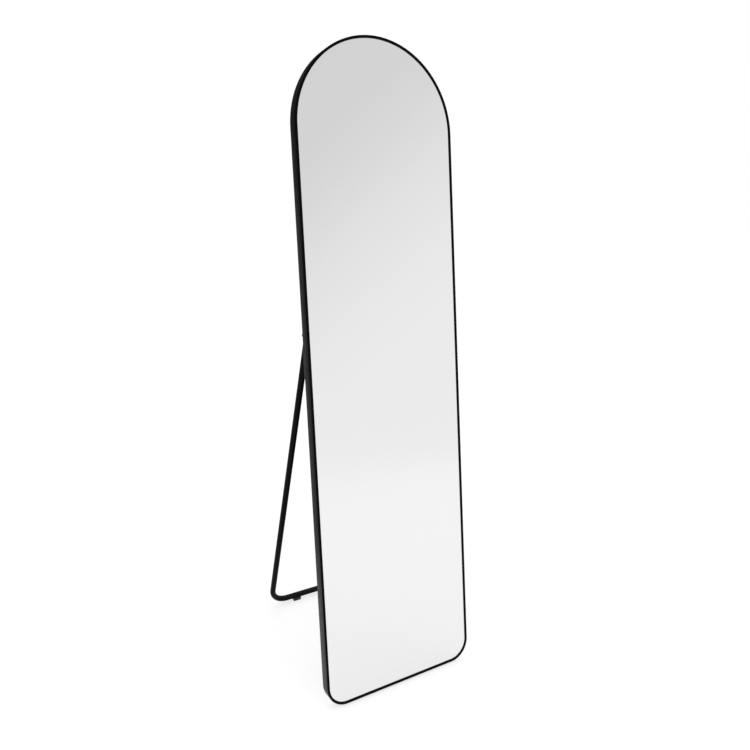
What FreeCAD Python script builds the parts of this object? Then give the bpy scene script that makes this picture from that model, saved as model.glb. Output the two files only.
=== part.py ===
# Leaning floor mirror: an arched full-length mirror in a slim aluminium frame that leans on a
# folding U-shaped tube stand hinged to its back.
#
# Row frame: +Z up, the mirror's face towards -Y, origin on the floor in the middle of the
# standing object.  Millimetres and degrees.
#
# The pieces of the panel are drawn upright in the panel's own frame (X across, Y from the front
# face to the back, Z up from the bottom edge) and lean back together.  The pieces of the stand
# are drawn about the hinge line, with the legs along -Z, and swing out together.

import FreeCAD, Part
import Sketcher
import math
import os

DIMENSIONS = {
    # the panel
    "panel_width": 400.0,
    "panel_height": 1500.0,
    "frame_depth": 25.0,
    "corner_radius": 50.0,
    "frame_wall": 1.5,
    "face_width": 6.0,
    "flange_width": 22.0,
    "edge_bevel": 0.5,
    "inner_bevel": 0.4,
    "joint_gap": 0.2,
    "glass_thickness": 4.0,
    "glass_edge_gap": 1.0,
    "film_thickness": 0.3,
    "film_margin": 1.0,
    "board_thickness": 3.0,
    "board_edge_gap": 3.0,
    # the bar that joins the two ends of the bent frame
    "splice_length": 120.0,
    "splice_thickness": 2.5,
    "splice_clearance": 0.5,
    "splice_screw_side": 32.0,
    # screws: through the back flange into the board, and through the bottom rail into the bar
    "board_screw_inset": 15.0,
    "board_screw_radius": 1.5,
    "board_head_radius": 3.0,
    "board_head_height": 1.7,
    "board_screw_length": 4.3,
    "splice_screw_length": 3.8,
    "board_screw_low": 90.0,
    "board_screw_side": 70.0,
    "screw_clearance": 0.05,
    # how much of a screw head's height is its edge, and of its radius its flat crown
    "head_edge_share": 0.35,
    "head_crown_share": 0.62,
    # how the mirror stands
    "lean": 11.0,
    "opening": 24.0,
    "pivot_down": 640.0,
    "pivot_back": 12.0,
    # the stand
    "leg_inset": 18.0,
    "tube_radius": 7.5,
    "tube_wall": 1.2,
    "bend_radius": 48.0,
    "cap_thickness": 1.0,
    "cap_plug": 2.4,
    "cap_clearance": 0.1,
    "stop_clearance": 0.3,
    # the hinge
    "bracket_wall": 1.5,
    "bracket_gap": 0.8,
    "bracket_below": 97.0,
    "bracket_above": 25.0,
    "ear_margin": 5.5,
    "ear_depth_low": 22.0,
    "ear_rounding": 5.0,
    "ear_low_step": 4.0,
    "ear_low_rounding": 3.5,
    "bracket_screw_radius": 2.0,
    "bracket_head_radius": 3.6,
    "bracket_head_height": 1.8,
    "bracket_screw_length": 5.8,
    "bracket_screw_end": 9.0,
    "pivot_radius": 2.5,
    "pivot_clearance": 0.1,
    "pivot_head_radius": 4.75,
    "pivot_head_height": 2.75,
    "pivot_head_edge": 1.6,
    "pivot_crown_radius": 3.6,
    "pivot_end": 1.5,
    "spacer_radius": 5.5,
    "spacer_thickness": 0.4,
    "spacer_clearance": 0.1,
    "washer_radius": 5.0,
    "washer_thickness": 1.0,
    "nut_across_flats": 8.0,
    "nut_height": 4.0,
    "nut_collar_radius": 3.6,
    "nut_collar_height": 1.2,
    # the feet
    "foot_inset": 78.0,
    "foot_length": 22.0,
    "foot_width": 16.0,
    "foot_below": 5.5,
    "foot_top_drop": 4.5,
    "foot_seat_clearance": 0.15,
    "foot_rounding": 2.0,
    "foot_screw_radius": 1.6,
    "foot_head_radius": 3.2,
    "foot_head_height": 1.8,
    "foot_head_recess": 2.8,
    "foot_recess_clearance": 0.2,
    # the pads under the frame
    "pad_inset": 80.0,
    "pad_length": 40.0,
    "pad_width": 18.0,
    "pad_thickness": 2.0,
    "pad_setback": 5.0,
    "pad_rounding": 3.0,
    # the plates that hang the mirror on a wall
    "hanger_down": 270.0,
    "hanger_length": 72.0,
    "hanger_width": 17.0,
    "hanger_wall": 1.5,
    "hanger_rise": 4.0,
    "hanger_tab": 16.0,
    "hanger_ramp": 4.0,
    "keyhole_radius": 4.5,
    "keyhole_slot": 4.4,
    "keyhole_travel": 11.0,
}

doc = FreeCAD.newDocument("LeaningFloorMirror")
sheet = doc.addObject("Spreadsheet::Sheet", "Sizes")
for row, (alias, value) in enumerate(DIMENSIONS.items(), start=1):
    sheet.set(f"A{row}", alias)
    sheet.set(f"B{row}", str(value))
    sheet.setAlias(f"B{row}", alias)
doc.recompute()

# Sizes and places that follow from the driving ones.
PLACES = {
    # what keeps its distance from the panel's sides and top
    "leg_offset": "Sizes.panel_width / 2 - Sizes.leg_inset",
    "foot_offset": "Places.leg_offset - Sizes.foot_inset",
    "pad_offset": "Sizes.panel_width / 2 - Sizes.pad_inset",
    "pivot_up": "Sizes.panel_height - Sizes.pivot_down",
    "hanger_up": "Sizes.panel_height - Sizes.hanger_down",
    # middle line of a leg's hinge, behind the panel's front face
    "pivot_depth": "Sizes.frame_depth + Sizes.pivot_back",
    # the pads' back lower edge touches the floor
    "pad_back": "Sizes.pad_setback + Sizes.pad_width",
    "lift": "Places.pad_back * sin(Sizes.lean) + Sizes.pad_thickness * cos(Sizes.lean)",
    # angle of the open legs from the vertical
    "leg_slope": "Sizes.opening - Sizes.lean",
    # hinge line to the middle of the bottom bar, so that pads and feet share one floor
    "pivot_height": "Places.pivot_up * cos(Sizes.lean) - Places.pivot_depth * sin(Sizes.lean)"
                    " + Places.lift",
    "leg_length": "(Places.pivot_height - Sizes.tube_radius - Sizes.foot_below)"
                  " / cos(Places.leg_slope)",
    # the standing object reaches from the panel's lower front edge to the back of the feet
    "front_reach": "Sizes.edge_bevel * sin(Sizes.lean)",
    "pivot_reach": "Places.pivot_depth * cos(Sizes.lean) + Places.pivot_up * sin(Sizes.lean)",
    "bar_reach": "Places.pivot_reach + Places.leg_length * sin(Places.leg_slope)",
    "back_reach": "Places.bar_reach + Sizes.foot_width / 2",
    "shift": "-(Places.front_reach + Places.back_reach) / 2",
    # layers of the panel, from the front face
    "glass_back": "Sizes.frame_wall + Sizes.glass_thickness",
    "film_back": "Places.glass_back + Sizes.film_thickness",
    "board_front": "Sizes.frame_depth - Sizes.frame_wall - Sizes.board_thickness",
    "board_back": "Sizes.frame_depth - Sizes.frame_wall",
    "glass_inset": "Sizes.frame_wall + Sizes.glass_edge_gap",
    "film_inset": "Places.glass_inset + Sizes.film_margin",
    "board_inset": "Sizes.frame_wall + Sizes.board_edge_gap",
    "splice_front": "Places.film_back + Sizes.splice_clearance",
    "splice_back": "Places.board_front - Sizes.splice_clearance",
    "arch_up": "Sizes.panel_height - Sizes.panel_width / 2",
    # the hinge brackets
    "slot_half": "Sizes.tube_radius + Sizes.bracket_gap",
    "bracket_half": "Places.slot_half + Sizes.bracket_wall",
    "bracket_low": "Places.pivot_up - Sizes.bracket_below",
    "bracket_top": "Places.pivot_up + Sizes.bracket_above",
    "ear_top": "Places.pivot_up + Sizes.ear_margin",
    "ear_back": "Places.pivot_depth + Sizes.ear_margin",
    # the leg's capped top stops against the bracket's base when the stand is open
    "tube_top": "(Sizes.pivot_back - Sizes.bracket_wall - Sizes.stop_clearance"
                " - Sizes.tube_radius * cos(Sizes.opening)) / sin(Sizes.opening)",
    "bar_height": "Places.pivot_height - Places.leg_length * cos(Places.leg_slope)",
    "tube_end": "Places.tube_top - Sizes.cap_thickness",
    "bore_radius": "Sizes.tube_radius - Sizes.tube_wall",
}

places = doc.addObject("App::VarSet", "Places")
for name in PLACES:
    places.addProperty("App::PropertyFloat", name, "Places")
for name, formula in PLACES.items():
    places.setExpression(name, formula)
doc.recompute()


def size(name):
    """A driving size or a place that follows from it, as a number."""
    if name in PLACES:
        return float(getattr(places, name))
    return float(getattr(sheet, name))


def value_of(formula):
    """The number that a formula in the sheet's names gives."""
    return float(sheet.evalExpression(str(formula)))


# ---------------------------------------------------------------------------- drawing helpers

SIDES = (("left", "-1"), ("right", "1"))

# Flat sides of the screws and their holes, and of the washers, which keeps the model light.
SCREW_SIDES = 8
RING_SIDES = 16


def new_body(label):
    """An empty body whose label names the piece."""
    body = doc.addObject("PartDesign::Body", label)
    body.Label = label
    return body


def origin_feature(body, role):
    """One of the body's own planes or axes, by its role."""
    return next(item for item in body.Origin.OriginFeatures if item.Role == role)


def sketch_on(body, role, offset="0", tilt=None):
    """A sketch on one of the body's planes, moved along that plane's normal."""
    sketch = body.newObject("Sketcher::SketchObject", body.Label + "_sketch")
    sketch.AttachmentSupport = [(origin_feature(body, role), "")]
    sketch.MapMode = "FlatFace"
    if tilt is not None:
        axis = FreeCAD.Vector(-1, 0, 0)
        turn = FreeCAD.Rotation(axis, value_of(tilt))
        sketch.AttachmentOffset = FreeCAD.Placement(FreeCAD.Vector(), turn)
        sketch.setExpression("AttachmentOffset.Rotation.Angle", tilt)
    sketch.setExpression("AttachmentOffset.Base.z", offset)
    return sketch


def bound(sketch, kind, *where, to):
    """A dimension in a sketch that follows a formula."""
    index = sketch.addConstraint(Sketcher.Constraint(kind, *where, value_of(to)))
    sketch.setExpression(f"Constraints[{index}]", to)


def fix_point(sketch, line, end, across=None, up=None):
    """Holds a point of the sketch at formulas measured from the sketch's origin."""
    if across is not None:
        bound(sketch, "DistanceX", -1, 1, line, end, to=across)
    if up is not None:
        bound(sketch, "DistanceY", -1, 1, line, end, to=up)


def draw_outline(sketch, corners):
    """A closed outline of straight edges through corners given as pairs of formulas."""
    points = [FreeCAD.Vector(value_of(across), value_of(up), 0) for across, up in corners]
    count = len(points)
    edges = [sketch.addGeometry(Part.LineSegment(point, points[(index + 1) % count]), False)
             for index, point in enumerate(points)]
    for index, (across, up) in enumerate(corners):
        joint = Sketcher.Constraint("Coincident", edges[index - 1], 2, edges[index], 1)
        sketch.addConstraint(joint)
        fix_point(sketch, edges[index], 1, across, up)


def draw_circle(sketch, across, up, radius):
    """A circle at a place and with a radius given by formulas."""
    centre = FreeCAD.Vector(value_of(across), value_of(up), 0)
    circle = Part.Circle(centre, FreeCAD.Vector(0, 0, 1), value_of(radius))
    line = sketch.addGeometry(circle, False)
    fix_point(sketch, line, 3, across, up)
    bound(sketch, "Radius", line, to=radius)


def polygon_corners(across, up, radius, sides):
    """Corners of a regular polygon about a place, as pairs of formulas."""
    angles = [360 * (step + 0.5) / sides for step in range(sides)]
    return [(f"{across} + ({radius}) * cos({angle})", f"{up} + ({radius}) * sin({angle})")
            for angle in angles]


def draw_hole(sketch, across, up, radius, sides=SCREW_SIDES):
    """A hole with flat sides that a round shank of the given radius just clears."""
    corner = f"({radius}) / cos({180 / sides})"
    draw_outline(sketch, polygon_corners(across, up, corner, sides))


def draw_arch(sketch, inset, gap=None):
    """The panel's outline, a given distance inside its outer edge, whole or with a gap below."""
    half = value_of(f"Sizes.panel_width / 2 - ({inset})")
    bend = value_of(f"Sizes.corner_radius - ({inset})")
    low = value_of(inset)
    spring = size("arch_up")
    normal = FreeCAD.Vector(0, 0, 1)

    def straight(x1, y1, x2, y2):
        return Part.LineSegment(FreeCAD.Vector(x1, y1, 0), FreeCAD.Vector(x2, y2, 0))

    def bent(x, y, radius, start, end):
        circle = Part.Circle(FreeCAD.Vector(x, y, 0), normal, radius)
        return Part.ArcOfCircle(circle, math.radians(start), math.radians(end))

    seam = value_of(f"{gap} / 2") if gap else bend - half
    loop = list(sketch.addGeometry([
        straight(seam, low, half - bend, low),
        bent(half - bend, low + bend, bend, -90, 0),
        straight(half, low + bend, half, spring),
        bent(0, spring, half, 0, 180),
        straight(-half, spring, -half, low + bend),
        bent(bend - half, low + bend, bend, 180, 270),
    ], False))
    bottom, right_bend, right, top, left, left_bend = loop
    if gap:
        last = sketch.addGeometry(straight(bend - half, low, -seam, low), False)
        loop.append(last)
        sketch.addConstraint(Sketcher.Constraint("Horizontal", last))
        fix_point(sketch, bottom, 1, across=f"{gap} / 2")
        fix_point(sketch, last, 2, across=f"-{gap} / 2", up=inset)
        joints = zip(loop, loop[1:])
    else:
        joints = zip(loop, loop[1:] + loop[:1])
    for line, following in joints:
        sketch.addConstraint(Sketcher.Constraint("Tangent", line, 2, following, 1))
    sketch.addConstraint(Sketcher.Constraint("Horizontal", bottom))
    sketch.addConstraint(Sketcher.Constraint("Vertical", right))
    sketch.addConstraint(Sketcher.Constraint("Vertical", left))
    for line in (right_bend, left_bend):
        bound(sketch, "Radius", line, to=f"Sizes.corner_radius - ({inset})")
    fix_point(sketch, bottom, 1, up=inset)
    fix_point(sketch, right, 1, across=f"Sizes.panel_width / 2 - ({inset})")
    fix_point(sketch, left, 1, across=f"({inset}) - Sizes.panel_width / 2")
    fix_point(sketch, top, 3, up="Places.arch_up")


def add(body, kind, name=None):
    """A new feature at the end of a body."""
    return body.newObject(kind, name or body.Label + "_feature")


def pad(body, sketch, length, reverse=False, middle=False):
    """Thickens a sketch into the body."""
    feature = add(body, "PartDesign::Pad")
    feature.Profile = sketch
    feature.Reversed = reverse
    if middle:
        feature.SideType = "Symmetric"
    feature.setExpression("Length", length)
    doc.recompute()
    return feature


def cut(body, sketch, length=None, reverse=False, middle=False):
    """Cuts a sketch out of the body, and makes sure that something went."""
    before = body.Shape.Volume
    feature = add(body, "PartDesign::Pocket")
    feature.Profile = sketch
    feature.Reversed = reverse
    if middle:
        feature.SideType = "Symmetric"
    if length is None:
        feature.Type = "ThroughAll"
    else:
        feature.setExpression("Length", length)
    doc.recompute()
    if body.Shape.Volume > before - 1e-6:
        raise ValueError(f"{body.Label}: {feature.Name} cuts nothing")
    return feature


def edges_where(shape, along, wanted):
    """Names of the straight edges along a direction whose two ends both satisfy a test."""
    names = []
    for index, edge in enumerate(shape.Edges, start=1):
        ends = [vertex.Point for vertex in edge.Vertexes]
        if len(ends) != 2 or not all(wanted(point) for point in ends):
            continue
        if (ends[1] - ends[0]).cross(along).Length < 0.001:
            names.append(f"Edge{index}")
    return names


def round_edges(body, along, wanted, radius):
    """Rounds the body's straight edges along a direction whose ends satisfy a test."""
    base = body.Tip
    names = edges_where(base.Shape, along, wanted)
    if not names:
        raise ValueError(f"{body.Label}: no edge to round")
    feature = add(body, "PartDesign::Fillet")
    feature.Base = (base, names)
    feature.setExpression("Radius", radius)
    doc.recompute()
    return feature


def near(number, formula):
    """Whether a coordinate is the one that a formula gives."""
    return abs(number - value_of(formula)) < 0.01


ACROSS = FreeCAD.Vector(1, 0, 0)
BACKWARD = FreeCAD.Vector(0, 1, 0)
UPWARD = FreeCAD.Vector(0, 0, 1)
DOWNWARD = FreeCAD.Vector(0, 0, -1)
TOWARDS_BACK = FreeCAD.Rotation(UPWARD, BACKWARD)
LEAN_AXIS = FreeCAD.Vector(-1, 0, 0)
SWING_AXIS = FreeCAD.Vector(1, 0, 0)


def lean_back(piece):
    """Puts a piece that is drawn in the panel's frame where the leaning panel is."""
    turn = FreeCAD.Rotation(LEAN_AXIS, size("lean"))
    piece.Placement = FreeCAD.Placement(FreeCAD.Vector(), turn)
    piece.setExpression("Placement.Rotation.Angle", "Sizes.lean")
    piece.setExpression("Placement.Base.y", "Places.shift")
    piece.setExpression("Placement.Base.z", "Places.lift")


def swing_out(piece):
    """Puts a piece that is drawn about the hinge line where the open stand is."""
    turn = FreeCAD.Rotation(SWING_AXIS, size("leg_slope"))
    piece.Placement = FreeCAD.Placement(FreeCAD.Vector(), turn)
    piece.setExpression("Placement.Rotation.Angle", "Places.leg_slope")
    piece.setExpression("Placement.Base.y", "Places.pivot_reach + Places.shift")
    piece.setExpression("Placement.Base.z", "Places.pivot_height")


# ---------------------------------------------------------------------------- the panel

def splice_screw_places():
    """Across and along places of the screws that hold the frame's joint."""
    middle = "(Places.splice_front + Places.splice_back) / 2"
    for hand in ("-1", "1"):
        yield f"{hand} * Sizes.splice_screw_side", middle


def board_screw_places():
    """Across and up places of the screws round the back flange."""
    side = "(Sizes.panel_width / 2 - Sizes.board_screw_inset)"
    below = "(Places.bracket_low - Sizes.board_screw_low / 2)"
    above = "(Places.bracket_top + Sizes.board_screw_low / 2)"
    heights = []
    for step in range(3):
        heights.append(f"Sizes.board_screw_low"
                       f" + ({below} - Sizes.board_screw_low) * {step} / 2")
    heights.append(above)
    heights.append("Places.arch_up")
    for hand in ("-1", "1"):
        for height in heights:
            yield f"{hand} * {side}", height
    for angle in range(45, 180, 45):
        yield f"{side} * cos({angle})", f"Places.arch_up + {side} * sin({angle})"
    for hand in ("-1", "1"):
        yield f"{hand} * Sizes.board_screw_side", "Sizes.board_screw_inset"


def hanger_screw_places():
    """Across and up places of the screws in the tabs of the wall hangers."""
    across = "(Sizes.panel_width / 2 - Sizes.flange_width / 2)"
    reach = "(Sizes.hanger_length - Sizes.hanger_tab) / 2"
    for hand in ("-1", "1"):
        for sign in ("-", "+"):
            yield f"{hand} * {across}", f"Places.hanger_up {sign} {reach}"


def bracket_screw_places(hand):
    """Across and up places of the three screws of one hinge bracket."""
    across = f"{hand} * Places.leg_offset"
    yield across, "Places.bracket_low + Sizes.bracket_screw_end"
    yield across, ("(Places.bracket_low + Places.pivot_up) / 2"
                   " + Sizes.bracket_screw_end / 2")
    yield across, "Places.bracket_top - Sizes.bracket_screw_end"


def draw_screw_hole(sketch, across, up):
    """A hole for one of the small screws."""
    draw_hole(sketch, across, up, "Sizes.board_screw_radius + Sizes.screw_clearance")


def drill_back(body, start, depth):
    """Drills the holes that the flange and the back board share, from a depth backwards."""
    small = "Sizes.board_screw_radius + Sizes.screw_clearance"
    large = "Sizes.bracket_screw_radius + Sizes.screw_clearance"
    holes = [(*place, small) for place in [*board_screw_places(), *hanger_screw_places()]]
    for _, hand in SIDES:
        holes += [(*place, large) for place in bracket_screw_places(hand)]
    for across, up, radius in holes:
        drill = add(body, "PartDesign::SubtractivePrism")
        drill.Polygon = SCREW_SIDES
        drill.Placement = FreeCAD.Placement(FreeCAD.Vector(), TOWARDS_BACK)
        drill.setExpression("Placement.Base.x", across)
        drill.setExpression("Placement.Base.y", start)
        drill.setExpression("Placement.Base.z", up)
        drill.setExpression("Circumradius", f"({radius}) / cos({180 / SCREW_SIDES})")
        drill.setExpression("Height", depth)
    doc.recompute()


def make_frame():
    """The frame: one extrusion bent into an arch, its ends meeting under the mirror."""
    body = new_body("frame_profile")
    spine = sketch_on(body, "XZ_Plane")
    draw_arch(spine, "0", gap="Sizes.joint_gap")
    section = sketch_on(body, "YZ_Plane", "Sizes.joint_gap / 2")
    draw_outline(section, [
        ("0", "Sizes.edge_bevel"),
        ("0", "Sizes.face_width - Sizes.inner_bevel"),
        ("Sizes.inner_bevel", "Sizes.face_width"),
        ("Sizes.frame_wall", "Sizes.face_width"),
        ("Sizes.frame_wall", "Sizes.frame_wall"),
        ("Places.board_back", "Sizes.frame_wall"),
        ("Places.board_back", "Sizes.flange_width"),
        ("Sizes.frame_depth", "Sizes.flange_width"),
        ("Sizes.frame_depth", "Sizes.edge_bevel"),
        ("Sizes.frame_depth - Sizes.edge_bevel", "0"),
        ("Sizes.edge_bevel", "0"),
    ])
    sweep = add(body, "PartDesign::AdditivePipe")
    sweep.Profile = section
    sweep.Spine = (spine, [])
    doc.recompute()
    joint_holes = sketch_on(body, "XY_Plane")
    for across, along in splice_screw_places():
        draw_screw_hole(joint_holes, across, along)
    cut(body, joint_holes, "Sizes.frame_wall", reverse=True)
    drill_back(body, "Places.board_back", "Sizes.frame_wall")
    lean_back(body)
    return body


def make_sheet(label, front, thickness, inset):
    """A flat layer of the panel: the arch, some way inside the frame's outline."""
    body = new_body(label)
    outline = sketch_on(body, "XZ_Plane", f"-({front})")
    draw_arch(outline, inset)
    pad(body, outline, thickness, reverse=True)
    lean_back(body)
    return body


def make_board():
    """The back board, with holes for the screws that reach it."""
    body = make_sheet("back_board", "Places.board_front", "Sizes.board_thickness",
                      "Places.board_inset")
    drill_back(body, "Places.board_front", "Sizes.board_thickness")
    return body


def make_splice():
    """The flat bar inside the bottom rail that bridges the frame's joint."""
    body = new_body("frame_splice")
    plan = sketch_on(body, "XY_Plane", "Sizes.frame_wall")
    half = "Sizes.splice_length / 2"
    draw_outline(plan, [
        (f"-{half}", "Places.splice_front"),
        (half, "Places.splice_front"),
        (half, "Places.splice_back"),
        (f"-{half}", "Places.splice_back"),
    ])
    for across, along in splice_screw_places():
        draw_screw_hole(plan, across, along)
    pad(body, plan, "Sizes.splice_thickness")
    lean_back(body)
    return body


def turned_piece(profile):
    """A solid with flat sides about +Z, from the radius and height of each of its rings."""
    angles = [math.radians(360 * (step + 0.5) / SCREW_SIDES) for step in range(SCREW_SIDES)]
    rings = [[FreeCAD.Vector(radius * math.cos(angle), radius * math.sin(angle), height)
              for angle in angles] for radius, height in profile]
    outlines = [rings[0], rings[-1]]
    for lower, upper in zip(rings, rings[1:]):
        for index in range(SCREW_SIDES):
            outlines.append([lower[index - 1], lower[index], upper[index], upper[index - 1]])
    faces = [Part.Face(Part.makePolygon(outline + outline[:1])) for outline in outlines]
    solid = Part.makeSolid(Part.makeShell(faces))
    if solid.Volume < 0:
        solid.reverse()
    return solid.removeSplitter()


def pan_screw(head_radius, head_height, shank_radius, shank_length):
    """A low-headed screw along +Z: the head's flat side at the origin, the shank below."""
    return turned_piece([
        (shank_radius, -shank_length),
        (shank_radius, 0),
        (head_radius, 0),
        (head_radius, head_height * size("head_edge_share")),
        (head_radius * size("head_crown_share"), head_height),
    ])


def screw_group(label, screw, spots, direction):
    """Separate copies of one screw, each at its spot with its head along a direction."""
    turn = FreeCAD.Rotation(FreeCAD.Vector(0, 0, 1), direction)
    copies = []
    for spot in spots:
        copy = screw.copy()
        copy.Placement = FreeCAD.Placement(spot, turn)
        copies.append(copy)
    piece = doc.addObject("Part::Feature", label)
    piece.Label = label
    piece.Shape = Part.makeCompound(copies)
    return piece


def make_board_screws():
    """The row of small screws round the back flange."""
    screw = pan_screw(size("board_head_radius"), size("board_head_height"),
                      size("board_screw_radius"), size("board_screw_length"))
    spots = [FreeCAD.Vector(value_of(across), size("frame_depth"), value_of(up))
             for across, up in board_screw_places()]
    piece = screw_group("board_screws", screw, spots, BACKWARD)
    lean_back(piece)
    return piece


def make_splice_screws():
    """The screws from below, through the bottom rail into the joining bar."""
    screw = pan_screw(size("board_head_radius"), size("board_head_height"),
                      size("board_screw_radius"), size("splice_screw_length"))
    spots = [FreeCAD.Vector(value_of(across), value_of(along), 0)
             for across, along in splice_screw_places()]
    piece = screw_group("splice_screws", screw, spots, DOWNWARD)
    lean_back(piece)
    return piece


def make_pad(side, hand):
    """A flat anti-slip pad under the bottom rail."""
    body = new_body(f"base_pad_{side}")
    plan = sketch_on(body, "XY_Plane")
    near_end = f"{hand} * Places.pad_offset - Sizes.pad_length / 2"
    far_end = f"{hand} * Places.pad_offset + Sizes.pad_length / 2"
    draw_outline(plan, [
        (near_end, "Sizes.pad_setback"),
        (far_end, "Sizes.pad_setback"),
        (far_end, "Places.pad_back"),
        (near_end, "Places.pad_back"),
    ])
    pad(body, plan, "Sizes.pad_thickness", reverse=True)
    round_edges(body, UPWARD, lambda point: near(point.y, "Sizes.pad_setback"),
                "Sizes.pad_rounding")
    lean_back(body)
    return body


def make_hanger(side, hand):
    """A keyhole plate, raised off the back flange so that a wall screw's head fits behind."""
    body = new_body(f"wall_hanger_{side}")
    end = "Sizes.hanger_length / 2"
    ramp_foot = f"({end} - Sizes.hanger_tab)"
    ramp_head = f"({end} - Sizes.hanger_tab - Sizes.hanger_ramp)"
    back = "Sizes.frame_depth"
    low = f"({back} + Sizes.hanger_wall)"
    raised = f"({back} + Sizes.hanger_rise)"
    outer = f"({back} + Sizes.hanger_rise + Sizes.hanger_wall)"

    def up(distance):
        return f"Places.hanger_up + {distance}"

    def down(distance):
        return f"Places.hanger_up - {distance}"

    side_view = sketch_on(body, "YZ_Plane",
                          f"{hand} * (Sizes.panel_width / 2 - Sizes.flange_width / 2)")
    draw_outline(side_view, [
        (back, down(end)),
        (back, down(ramp_foot)),
        (raised, down(ramp_head)),
        (raised, up(ramp_head)),
        (back, up(ramp_foot)),
        (back, up(end)),
        (low, up(end)),
        (low, up(ramp_foot)),
        (outer, up(ramp_head)),
        (outer, down(ramp_head)),
        (low, down(ramp_foot)),
        (low, down(end)),
    ])
    pad(body, side_view, "Sizes.hanger_width", middle=True)
    centre = f"{hand} * (Sizes.panel_width / 2 - Sizes.flange_width / 2)"
    keyhole = sketch_on(body, "XZ_Plane", f"-{raised}")
    draw_circle(keyhole, centre, down("Sizes.keyhole_travel / 2"), "Sizes.keyhole_radius")
    cut(body, keyhole, "Sizes.hanger_wall")
    slot = sketch_on(body, "XZ_Plane", f"-{raised}")
    slot_top = up("Sizes.keyhole_travel / 2")
    draw_outline(slot, [
        (f"{centre} - Sizes.keyhole_slot / 2", down("Sizes.keyhole_travel / 2")),
        (f"{centre} + Sizes.keyhole_slot / 2", down("Sizes.keyhole_travel / 2")),
        (f"{centre} + Sizes.keyhole_slot / 2", slot_top),
        (f"{centre} + Sizes.keyhole_slot / 4", f"{slot_top} + Sizes.keyhole_slot / 2"),
        (f"{centre} - Sizes.keyhole_slot / 4", f"{slot_top} + Sizes.keyhole_slot / 2"),
        (f"{centre} - Sizes.keyhole_slot / 2", slot_top),
    ])
    cut(body, slot, "Sizes.hanger_wall")
    tab_holes = sketch_on(body, "XZ_Plane", f"-{back}")
    reach = "(Sizes.hanger_length - Sizes.hanger_tab) / 2"
    for height in (down(reach), up(reach)):
        draw_screw_hole(tab_holes, centre, height)
    cut(body, tab_holes, "Sizes.hanger_wall")
    lean_back(body)
    return body


def make_hanger_screws():
    """The screws that hold the two wall hangers."""
    screw = pan_screw(size("board_head_radius"), size("board_head_height"),
                      size("board_screw_radius"), size("board_screw_length") + size("hanger_wall"))
    depth = size("frame_depth") + size("hanger_wall")
    spots = [FreeCAD.Vector(value_of(across), depth, value_of(up))
             for across, up in hanger_screw_places()]
    piece = screw_group("hanger_screws", screw, spots, BACKWARD)
    lean_back(piece)
    return piece


# ---------------------------------------------------------------------------- the hinges

def make_bracket(side, hand):
    """The hinge bracket: a pressed channel whose two ears hold the leg on its pivot."""
    body = new_body(f"hinge_bracket_{side}")
    centre = f"{hand} * Places.leg_offset"
    back = "Sizes.frame_depth"
    plan = sketch_on(body, "XY_Plane", "Places.bracket_low")
    depth = f"{back} + Sizes.ear_depth_low"
    draw_outline(plan, [
        (f"{centre} - Places.bracket_half", back),
        (f"{centre} + Places.bracket_half", back),
        (f"{centre} + Places.bracket_half", depth),
        (f"{centre} + Places.slot_half", depth),
        (f"{centre} + Places.slot_half", f"{back} + Sizes.bracket_wall"),
        (f"{centre} - Places.slot_half", f"{back} + Sizes.bracket_wall"),
        (f"{centre} - Places.slot_half", depth),
        (f"{centre} - Places.bracket_half", depth),
    ])
    pad(body, plan, "Sizes.bracket_below + Sizes.bracket_above")
    clear = f"{back} + 2 * Sizes.ear_depth_low"
    above = "Places.bracket_top + Sizes.bracket_wall"
    side_view = sketch_on(body, "YZ_Plane", centre)
    draw_outline(side_view, [
        (f"{back} + Sizes.bracket_wall", "Places.ear_top"),
        ("Places.ear_back", "Places.ear_top"),
        ("Places.ear_back", "Places.pivot_up"),
        (depth, "Places.bracket_low + Sizes.ear_low_step"),
        (clear, "Places.bracket_low + Sizes.ear_low_step"),
        (clear, above),
        (f"{back} + Sizes.bracket_wall", above),
    ])
    cut(body, side_view, "4 * Places.bracket_half", middle=True)
    round_edges(body, ACROSS, lambda point: near(point.y, "Places.ear_back")
                and near(point.z, "Places.ear_top"), "Sizes.ear_rounding")
    round_edges(body, ACROSS, lambda point: near(point.y, depth)
                and near(point.z, "Places.bracket_low"), "Sizes.ear_low_rounding")
    bores = sketch_on(body, "YZ_Plane", centre)
    draw_hole(bores, "Places.pivot_depth", "Places.pivot_up",
              "Sizes.pivot_radius + Sizes.screw_clearance", RING_SIDES)
    cut(body, bores, "4 * Places.bracket_half", middle=True)
    holes = sketch_on(body, "XZ_Plane", f"-({back})")
    for across, up in bracket_screw_places(hand):
        draw_hole(holes, across, up, "Sizes.bracket_screw_radius + Sizes.screw_clearance")
    cut(body, holes, "Sizes.bracket_wall")
    lean_back(body)
    return body


def make_bracket_screws(side, hand):
    """Three screws through a bracket's base and the flange into the back board."""
    screw = pan_screw(size("bracket_head_radius"), size("bracket_head_height"),
                      size("bracket_screw_radius"), size("bracket_screw_length"))
    depth = size("frame_depth") + size("bracket_wall")
    spots = [FreeCAD.Vector(value_of(across), depth, value_of(up))
             for across, up in bracket_screw_places(hand)]
    piece = screw_group(f"bracket_screws_{side}", screw, spots, BACKWARD)
    lean_back(piece)
    return piece


def on_pivot(piece, hand):
    """Puts a piece drawn along +X on the hinge line, facing away from the mirror's middle."""
    turn = FreeCAD.Rotation(FreeCAD.Vector(0, 0, 1), 0 if hand == "1" else 180)
    piece.Placement = FreeCAD.Placement(FreeCAD.Vector(), turn)
    piece.setExpression("Placement.Base.x", f"{hand} * Places.leg_offset")
    piece.setExpression("Placement.Base.y", "Places.pivot_reach + Places.shift")
    piece.setExpression("Placement.Base.z", "Places.pivot_height")


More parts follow.
